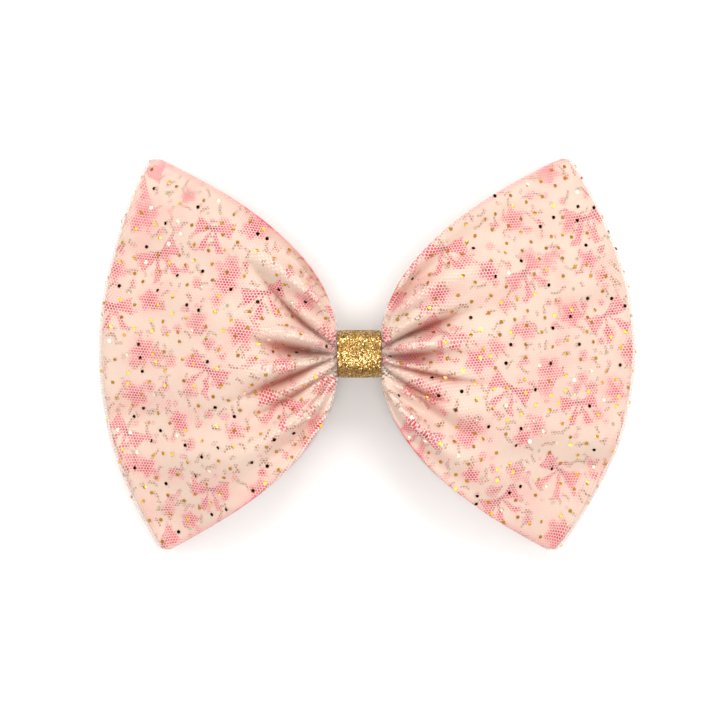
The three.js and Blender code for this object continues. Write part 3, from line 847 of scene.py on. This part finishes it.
def makeLoops():
    printMaterial, reverseMaterial = watercolourPrint(), printReverse()
    tulleMaterial, foil = nylonTulle(), goldFoil()
    made = {}
    for side, word in ((1, "Right"), (-1, "Left")):
        grid = loopGrid(side)
        normals = gridNormals(grid, side)
        flat = clothCoordinates(grid)
        printed, quads = sheetFromGrid("printedCloth" + word, grid, side, flat)
        bows = scatterMotifs(flat, "bow", side, [])
        flowers = scatterMotifs(flat, "flower", side, bows)
        setCorners(printed, "bowMotif", motifCorners(flat, quads, bows, side))
        setCorners(printed, "flowerMotif", motifCorners(flat, quads, flowers, side))
        print(word, "loop:", len(bows), "printed bows and", len(flowers), "flowers")
        printed.data.materials.append(printMaterial)
        printed.data.materials.append(reverseMaterial)
        thick = printed.modifiers.new("thickness", "SOLIDIFY")
        thick.thickness = cloth["thickness"]
        thick.offset = -1
        thick.material_offset = 1
        thick.material_offset_rim = 0
        bpy.context.view_layer.objects.active = printed
        bpy.ops.object.modifier_apply(modifier=thick.name)
        outward = np.maximum(normals[:, :, :1] * side, 0)
        lift = cloth["tulleLift"] + cloth["tulleOverhang"] * outward ** 3
        netGrid = grid + normals * lift
        net, quads = sheetFromGrid("tulle" + word, netGrid, side, flat)
        net.data.materials.append(tulleMaterial)
        dots = makeDots("foilDots" + word, netGrid, normals, flat, side, foil)
        for piece, slot in ((printed, "printed_cloth"), (net, "tulle"), (dots, "tulle")):
            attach(piece, "bow")
        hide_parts("printed_fabric")
        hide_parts("tulle_overlay")
        made[side] = (printed, net)
    return made


makeLoops()
print("cloth and tulle made")

# the glitter band

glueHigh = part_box("band_glue")[1]

band = {
    "thickness": 0.6 * mm,
    "topRadius": 2.6 * mm,
    "bottomRadius": 1.2 * mm,
    "overlap": 5 * mm,
    "cornerSteps": 8,
    "columns": 15,
    "stepLength": 0.5 * mm,
    "flakes": 9000,
    "flakeRadius": (0.08 * mm, 0.15 * mm),
    "flakeTilt": 0.11,
    "bow": 0.95 * mm,  # how far the front rises from its corners to its middle
    "crown": 0.12 * mm,  # the strip's edges are pressed a little lower than its middle
}


def roundedPath(corners):
    # points along a path in the (y, z) plane; each corner is (y, z, radius), ends have radius 0
    path = []
    for number, (y, z, radius) in enumerate(corners):
        here = Vector((y, z))
        if radius == 0:
            path.append(here)
            continue
        before = (Vector(corners[number - 1][:2]) - here).normalized()
        after = (Vector(corners[number + 1][:2]) - here).normalized()
        centre = here + (before + after) * radius
        first = here + before * radius - centre
        second = here + after * radius - centre
        for step in range(band["cornerSteps"] + 1):
            share = math.pi / 2 * step / band["cornerSteps"]
            path.append(centre + first * math.cos(share) + second * math.sin(share))
    spaced = [path[0]]
    for point in path[1:]:
        gap = point - spaced[-1]
        parts = max(1, int(gap.length / band["stepLength"]))
        start = spaced[-1]
        spaced += [start + gap * (part + 1) / parts for part in range(parts)]
    return spaced


def bandPath():
    half = band["thickness"] / 2
    side = bandHigh.y - half
    top, bottom = bandHigh.z - half, bandLow.z + half
    inner = glueHigh.z + band["thickness"] / 2 + 0.25 * mm
    reach = band["overlap"] / 2
    return roundedPath([(reach, inner, 0),
                        (-side, inner, band["bottomRadius"]),
                        (-side, top, band["topRadius"]),
                        (side, top, band["topRadius"]),
                        (side, bottom, band["bottomRadius"]),
                        (-reach, bottom, 0)])


def goldGlitterStrip():
    # glue film full of dust-fine gold: rough metal whose small facets each face their own way
    material, shader = newMaterial("goldGlitterVinyl")
    place = addNode(material, "ShaderNodeTexCoord").outputs["Object"]
    cells = addNode(material, "ShaderNodeTexVoronoi", {"Vector": place, "Scale": 1 / (0.22 * mm)})
    tone = addNode(material, "ShaderNodeSeparateColor", {"Color": cells.outputs["Color"]})
    colour = addNode(material, "ShaderNodeMix",
                     {"Factor": tone.outputs[0], "A": toLinear("#5F3B0E"), "B": toLinear("#CE9F4C")},
                     data_type="RGBA").outputs["Result"]
    connect(material, colour, shader.inputs["Base Color"])
    shader.inputs["Metallic"].default_value = 1.0
    shader.inputs["Roughness"].default_value = 0.35
    lean = addNode(material, "ShaderNodeVectorMath",
                   {0: cells.outputs["Color"], 1: (0.5, 0.5, 0.5)}, operation="SUBTRACT").outputs[0]
    facing = addNode(material, "ShaderNodeNewGeometry").outputs["Normal"]
    tilted = addNode(material, "ShaderNodeVectorMath", {0: lean, 1: (0.9, 0.9, 0.9), 2: facing},
                     operation="MULTIPLY_ADD").outputs[0]
    unit = addNode(material, "ShaderNodeVectorMath", {0: tilted}, operation="NORMALIZE").outputs[0]
    connect(material, unit, shader.inputs["Normal"])
    return material


def goldFlake():
    # cut polyester glitter: mirror-bright, each flake its own shade from bronze to pale gold
    material, shader = newMaterial("goldGlitterFlakes")
    tone = addNode(material, "ShaderNodeAttribute", attribute_name="tone")
    colour = addNode(material, "ShaderNodeMix",
                     {"Factor": tone.outputs["Fac"], "A": toLinear("#6E430F"), "B": toLinear("#F3D196")},
                     data_type="RGBA").outputs["Result"]
    connect(material, colour, shader.inputs["Base Color"])
    shader.inputs["Metallic"].default_value = 1.0
    shader.inputs["Roughness"].default_value = 0.2
    return material


def makeBand():
    side, level = bandHigh.y, bandHigh.z - 3 * mm
    path = [Vector((p.x, p.y - band["bow"] * (p.x / side) ** 2 * float(ease(p.y, level, level + 1 * mm))))
            for p in bandPath()]
    half = band["thickness"] / 2
    normals, rows = [], []
    for number, point in enumerate(path):
        ahead = path[min(number + 1, len(path) - 1)] - path[max(number - 1, 0)]
        normals.append(Vector((-ahead.y, ahead.x)).normalized())
    chooser = random.Random(5)
    for point, normal in zip(path, normals):
        row = []
        for column in range(band["columns"]):
            share = 2 * column / (band["columns"] - 1) - 1
            lift = half - band["crown"] * share ** 4
            place = point + normal * lift
            ragged = chooser.uniform(-0.03, 0.03) * mm * share ** 8  # only the cut edge wavers
            row.append((waistX + share * (bandHalf + ragged), place.x, place.y))
        rows.append(row)
    vertices = [corner for row in rows for corner in row]
    count = band["columns"]
    faces = [(r * count + c, r * count + c + 1, (r + 1) * count + c + 1, (r + 1) * count + c)
             for r in range(len(rows) - 1) for c in range(count - 1)]
    strip = meshPiece("glitterBand", vertices, faces)
    strip.data.materials.append(goldGlitterStrip())
    thick = strip.modifiers.new("thickness", "SOLIDIFY")
    thick.thickness = band["thickness"] - band["crown"]
    thick.offset = -1
    bpy.context.view_layer.objects.active = strip
    bpy.ops.object.modifier_apply(modifier=thick.name)
    for polygon in strip.data.polygons:
        polygon.use_smooth = True
    flakes = makeFlakes(path, normals, half)
    for piece in (strip, flakes):
        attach(piece, "bow")
        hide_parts("centre_band")


def makeFlakes(path, normals, half):
    chooser = random.Random(23)
    vertices, faces, tones = [], [], []
    for number in range(band["flakes"]):
        step = chooser.uniform(0, len(path) - 1.001)
        before = int(step)
        share = step - before
        point = path[before].lerp(path[before + 1], share)
        flatNormal = normals[before].lerp(normals[before + 1], share).normalized()
        across = chooser.uniform(-1, 1)
        normal = Vector((0, flatNormal.x, flatNormal.y))
        centre = Vector((waistX + across * (bandHalf - 0.08 * mm), point.x, point.y))
        centre += normal * (half - band["crown"] * across ** 4 + chooser.uniform(0.02, 0.10) * mm)
        up = (normal + Vector([chooser.gauss(0, band["flakeTilt"]) for axis in range(3)])).normalized()
        first = up.orthogonal().normalized()
        second = up.cross(first)
        radius = chooser.uniform(*band["flakeRadius"])
        turn = chooser.uniform(0, math.pi)
        start = len(vertices)
        for corner in range(6):
            angle = turn + math.pi / 3 * corner
            vertices.append(centre + (first * math.cos(angle) + second * math.sin(angle)) * radius)
        faces.append(tuple(range(start, start + 6)))
        tones += [chooser.random()] * 6
    flakes = meshPiece("glitterFlakes", vertices, faces)
    layer = flakes.data.attributes.new("tone", "FLOAT", "POINT")
    layer.data.foreach_set("value", tones)
    flakes.data.materials.append(goldFlake())
    return flakes


makeBand()
print("band and flakes made")

# thread, glue and lining

thread = {
    "turns": 4,
    "plyRadius": 0.15 * mm,
    "plyOffset": 0.11 * mm,
    "stationsPerTurn": 72,
    "twistPerTurn": 14,
    "sides": 6,
    "squareness": 5,  # how box-like each turn lies round the flat waist
}


def polyesterThread():
    # spun polyester: soft fibres, two plies, a dull sheen
    material, shader = newMaterial("spunPolyesterThread")
    place = addNode(material, "ShaderNodeTexCoord").outputs["Object"]
    fuzz = addNode(material, "ShaderNodeTexNoise",
                   {"Vector": place, "Scale": 5000.0, "Detail": 2.0}).outputs[0]
    colour = paint(material, toLinear("#F3DCD2"), "#D9B5A8", fuzz)
    connect(material, colour, shader.inputs["Base Color"])
    shader.inputs["Roughness"].default_value = 0.7
    shader.inputs["Sheen Weight"].default_value = 0.3
    return material


def makeThread():
    inset = thread["plyRadius"] + thread["plyOffset"]
    halfY = threadHigh.y - inset
    middleZ = (threadLow.z + threadHigh.z) / 2
    halfZ = threadHigh.z - middleZ - inset
    stations = thread["turns"] * thread["stationsPerTurn"]
    line = []
    for station in range(stations + 1):
        angle = 2 * math.pi * station / thread["stationsPerTurn"]
        c, s = math.cos(angle), math.sin(angle)
        power = thread["squareness"]
        boxed = (abs(c) ** power + abs(s) ** power) ** (-1 / power)
        x = mix(threadLow.x + inset, threadHigh.x - inset, station / stations)
        line.append(Vector((x, c * boxed * halfY, middleZ + s * boxed * halfZ)))
    vertices, faces = [], []
    for ply in (0, 1):
        start = len(vertices)
        for station, point in enumerate(line):
            ahead = (line[min(station + 1, stations)] - line[max(station - 1, 0)]).normalized()
            side = ahead.cross(Vector((1, 0, 0))).normalized()
            up = ahead.cross(side)
            spin = 2 * math.pi * thread["twistPerTurn"] * station / thread["stationsPerTurn"]
            spin += ply * math.pi
            centre = point + (side * math.cos(spin) + up * math.sin(spin)) * thread["plyOffset"]
            for corner in range(thread["sides"]):
                angle = 2 * math.pi * corner / thread["sides"]
                arm = side * math.cos(angle) + up * math.sin(angle)
                vertices.append(centre + arm * thread["plyRadius"])
        for station in range(stations):
            for corner in range(thread["sides"]):
                following = (corner + 1) % thread["sides"]
                low = start + station * thread["sides"]
                high = low + thread["sides"]
                faces.append((low + corner, low + following, high + following, high + corner))
        faces.append(tuple(start + corner for corner in reversed(range(thread["sides"]))))
        last = start + stations * thread["sides"]
        faces.append(tuple(last + corner for corner in range(thread["sides"])))
    piece = meshPiece("gatheringThreadPlies", vertices, faces)
    for polygon in piece.data.polygons:
        polygon.use_smooth = True
    piece.data.materials.append(polyesterThread())
    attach(piece, "bow")
    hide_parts("gathering_thread")
    return piece


def hotMeltGlue():
    # clear amber hot-melt: waxy, cloudy inside, softly glossy
    material, shader = newMaterial("hotMeltGlueClear")
    place = addNode(material, "ShaderNodeTexCoord").outputs["Object"]
    cloud = addNode(material, "ShaderNodeTexNoise",
                    {"Vector": place, "Scale": 700.0, "Detail": 3.0}).outputs[0]
    colour = paint(material, toLinear("#EFE6D2"), "#D8C6A0", cloud)
    connect(material, colour, shader.inputs["Base Color"])
    shader.inputs["Roughness"].default_value = 0.32
    shader.inputs["IOR"].default_value = 1.48
    shader.inputs["Subsurface Weight"].default_value = 0.35
    shader.inputs["Subsurface Radius"].default_value = (1.0, 0.8, 0.6)
    shader.inputs["Subsurface Scale"].default_value = 0.8 * mm
    bump = addNode(material, "ShaderNodeBump", {"Height": cloud, "Strength": 0.4, "Distance": 0.0002})
    connect(material, bump.outputs[0], shader.inputs["Normal"])
    return material


def makeGlue(name, node, material):
    # a pressed blob: a box rounded hard, its outline pushed in and out
    low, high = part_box(node)
    bpy.ops.object.select_all(action="DESELECT")
    bpy.ops.mesh.primitive_cube_add(size=1, location=(low + high) / 2, scale=high - low)
    blob = bpy.context.object
    bpy.ops.object.transform_apply(location=True, rotation=True, scale=True)
    blob.name = name
    bpy.ops.object.mode_set(mode="EDIT")
    bpy.ops.mesh.select_all(action="SELECT")
    bpy.ops.mesh.subdivide(number_cuts=5)
    bpy.ops.object.mode_set(mode="OBJECT")
    smooth = blob.modifiers.new("rounded", "SUBSURF")
    smooth.levels = smooth.render_levels = 1
    bpy.ops.object.modifier_apply(modifier=smooth.name)
    middle = (low + high) / 2
    for vertex in blob.data.vertices:
        away = vertex.co - middle
        angle = math.atan2(away.y, away.x)
        wobble = 1 - 0.09 * (1 + math.sin(3 * angle + high.z * 1000) * math.cos(2 * angle + 1))
        vertex.co.x = middle.x + away.x * wobble
        vertex.co.y = middle.y + away.y * wobble
    bpy.ops.object.shade_smooth()
    blob.data.materials.append(material)
    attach(blob, "bow")
    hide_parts(node)


lining = {
    "ribPitch": 0.8 * mm,  # grosgrain ribs drawn about as wide as the real ones
    "ribHeight": 0.07 * mm,
    "rowsPerRib": 6,
    "columns": 15,
    "thickness": 0.36 * mm,
}


def grosgrain():
    # grosgrain polyester ribbon: fine warp over thick ribs, a soft silky sheen
    material, shader = newMaterial("grosgrainPolyesterRibbon")
    place = addNode(material, "ShaderNodeTexCoord").outputs["Object"]
    parts = addNode(material, "ShaderNodeSeparateXYZ", {"Vector": place})
    warp = calc(material, "SINE", calc(material, "MULTIPLY", parts.outputs[1], 2 * math.pi / (0.3 * mm)))
    fleck = addNode(material, "ShaderNodeTexNoise",
                    {"Vector": place, "Scale": 900.0, "Detail": 3.0}).outputs[0]
    colour = paint(material, toLinear("#F4D9D2"), "#E3B9B3", fleck)
    connect(material, colour, shader.inputs["Base Color"])
    shader.inputs["Roughness"].default_value = 0.6
    shader.inputs["Sheen Weight"].default_value = 0.3
    bump = addNode(material, "ShaderNodeBump", {"Height": warp, "Strength": 0.3, "Distance": 0.00006})
    connect(material, bump.outputs[0], shader.inputs["Normal"])
    return material


def makeLining():
    rows = int((liningHigh.x - liningLow.x) / lining["ribPitch"]) * lining["rowsPerRib"]
    vertices = []
    for row in range(rows + 1):
        x = mix(liningLow.x, liningHigh.x, row / rows)
        rib = lining["ribHeight"] * math.cos(2 * math.pi * (x - liningLow.x) / lining["ribPitch"])
        for column in range(lining["columns"]):
            share = 2 * column / (lining["columns"] - 1) - 1
            y = share * (liningHigh.y - 0.04 * mm * (1 - rib / lining["ribHeight"]) * share ** 8)
            vertices.append((x, y, liningHigh.z - lining["ribHeight"] + rib))
    count = lining["columns"]
    faces = [(r * count + c, (r + 1) * count + c, (r + 1) * count + c + 1, r * count + c + 1)
             for r in range(rows) for c in range(count - 1)]
    ribbon = meshPiece("liningRibbon", vertices, faces)
    thick = ribbon.modifiers.new("thickness", "SOLIDIFY")
    thick.thickness = lining["thickness"]
    thick.offset = -1
    bpy.context.view_layer.objects.active = ribbon
    bpy.ops.object.modifier_apply(modifier=thick.name)
    bpy.ops.object.select_all(action="DESELECT")
    for polygon in ribbon.data.polygons:
        polygon.use_smooth = True
    ribbon.data.materials.append(grosgrain())
    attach(ribbon, "bow")
    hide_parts("clip_lining_ribbon")


makeThread()
glueMaterial = hotMeltGlue()
makeGlue("bandGlueBlob", "band_glue", glueMaterial)
makeGlue("clipGlueBlob", "clip_glue", glueMaterial)
makeLining()
print("thread, glue and lining made")

# the clip's metal


def nickelPlate():
    # bright nickel over stamped steel: clean reflections, faint rolling lines and handling scuffs
    material, shader = newMaterial("nickelPlatedStampedSteel")
    place = addNode(material, "ShaderNodeTexCoord").outputs["Object"]
    stretched = addNode(material, "ShaderNodeMapping",
                        {"Vector": place, "Scale": (150.0, 2400.0, 2400.0)}).outputs[0]
    lines = addNode(material, "ShaderNodeTexNoise",
                    {"Vector": stretched, "Scale": 1.0, "Detail": 3.0}).outputs[0]
    scuffs = addNode(material, "ShaderNodeTexNoise",
                     {"Vector": place, "Scale": 420.0, "Detail": 4.0}).outputs[0]
    colour = paint(material, toLinear("#D6D1C8"), "#A9A39A", calc(material, "MULTIPLY", scuffs, 0.5))
    connect(material, colour, shader.inputs["Base Color"])
    shader.inputs["Metallic"].default_value = 1.0
    connect(material, calc(material, "MULTIPLY_ADD", scuffs, 0.25, 0.14), shader.inputs["Roughness"])
    bump = addNode(material, "ShaderNodeBump", {"Height": lines, "Strength": 0.25, "Distance": 0.00002})
    connect(material, bump.outputs[0], shader.inputs["Normal"])
    return material


def springWire():
    # drawn music wire: darker than the plate, drawing lines run round the coil
    material, shader = newMaterial("drawnSpringSteelWire")
    place = addNode(material, "ShaderNodeTexCoord").outputs["Object"]
    grain = addNode(material, "ShaderNodeTexNoise",
                    {"Vector": place, "Scale": 3000.0, "Detail": 2.0}).outputs[0]
    colour = paint(material, toLinear("#B9B4AC"), "#7F7A73", grain)
    connect(material, colour, shader.inputs["Base Color"])
    shader.inputs["Metallic"].default_value = 1.0
    connect(material, calc(material, "MULTIPLY_ADD", grain, 0.2, 0.2), shader.inputs["Roughness"])
    return material


def dressNode(node, material):
    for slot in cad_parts[node].material_slots:
        slot.material = material


spring = {
    "coilRadius": 1.6 * mm,
    "wireRadius": 0.24 * mm,
    "turns": 3.5,
    "pitch": 0.75 * mm,
    "stationsPerTurn": 36,
    "legStations": 14,
    "sides": 10,
}

pinLow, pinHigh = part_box("clip_hinge_pin")
springLow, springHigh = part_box("clip_spring")
pivot = (pinLow + pinHigh) / 2


def tubeAlong(line, radius, sides):
    # a round wire along a smooth line, closed at both ends
    vertices, faces = [], []
    for station, point in enumerate(line):
        ahead = (line[min(station + 1, len(line) - 1)] - line[max(station - 1, 0)]).normalized()
        side = ahead.cross(Vector((0, 1, 0.01))).normalized()
        up = ahead.cross(side)
        for corner in range(sides):
            angle = 2 * math.pi * corner / sides
            vertices.append(point + (side * math.cos(angle) + up * math.sin(angle)) * radius)
    for station in range(len(line) - 1):
        for corner in range(sides):
            following = (corner + 1) % sides
            low, high = station * sides, (station + 1) * sides
            faces.append((low + corner, low + following, high + following, high + corner))
    faces.append(tuple(reversed(range(sides))))
    faces.append(tuple(range((len(line) - 1) * sides, len(line) * sides)))
    return vertices, faces


def makeSpring():
    # one leg under the plate, the coil round the pin, the other leg on the lever;
    # it winds up as the jaw opens
    halfLength = spring["turns"] * spring["pitch"] / 2
    wire = spring["wireRadius"]
    legStart = springLow.x + wire
    upperLevel, lowerLevel = springHigh.z - wire - 0.02 * mm, springLow.z + wire + 0.02 * mm
    topOfCoil = pivot + Vector((0, -halfLength, spring["coilRadius"]))
    bottomOfCoil = pivot + Vector((0, halfLength, -spring["coilRadius"]))
    line = []
    for step in range(spring["legStations"]):
        share = step / spring["legStations"]
        line.append(Vector((mix(legStart, topOfCoil.x, share), -halfLength,
                            mix(upperLevel, topOfCoil.z, share))))
    steps = int(spring["turns"] * spring["stationsPerTurn"])
    for step in range(steps + 1):
        angle = math.pi / 2 - 2 * math.pi * step / spring["stationsPerTurn"]
        line.append(pivot + Vector((spring["coilRadius"] * math.cos(angle),
                                    -halfLength + spring["pitch"] * step / spring["stationsPerTurn"],
                                    spring["coilRadius"] * math.sin(angle))))
    for step in range(1, spring["legStations"] + 1):
        share = step / spring["legStations"]
        line.append(Vector((mix(bottomOfCoil.x, legStart, share), halfLength,
                            mix(bottomOfCoil.z, lowerLevel, share))))
    piece = meshPiece("torsionSpring", *tubeAlong(line, wire, spring["sides"]))
    for polygon in piece.data.polygons:
        polygon.use_smooth = True
    piece.data.materials.append(springWire())
    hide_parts("clip_spring")
    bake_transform(piece)
    return piece


plate = nickelPlate()
for node in ("clip_upper_jaw", "clip_lower_jaw", "clip_hinge_pin"):
    dressNode(node, plate)
makeSpring()
print("clip dressed")
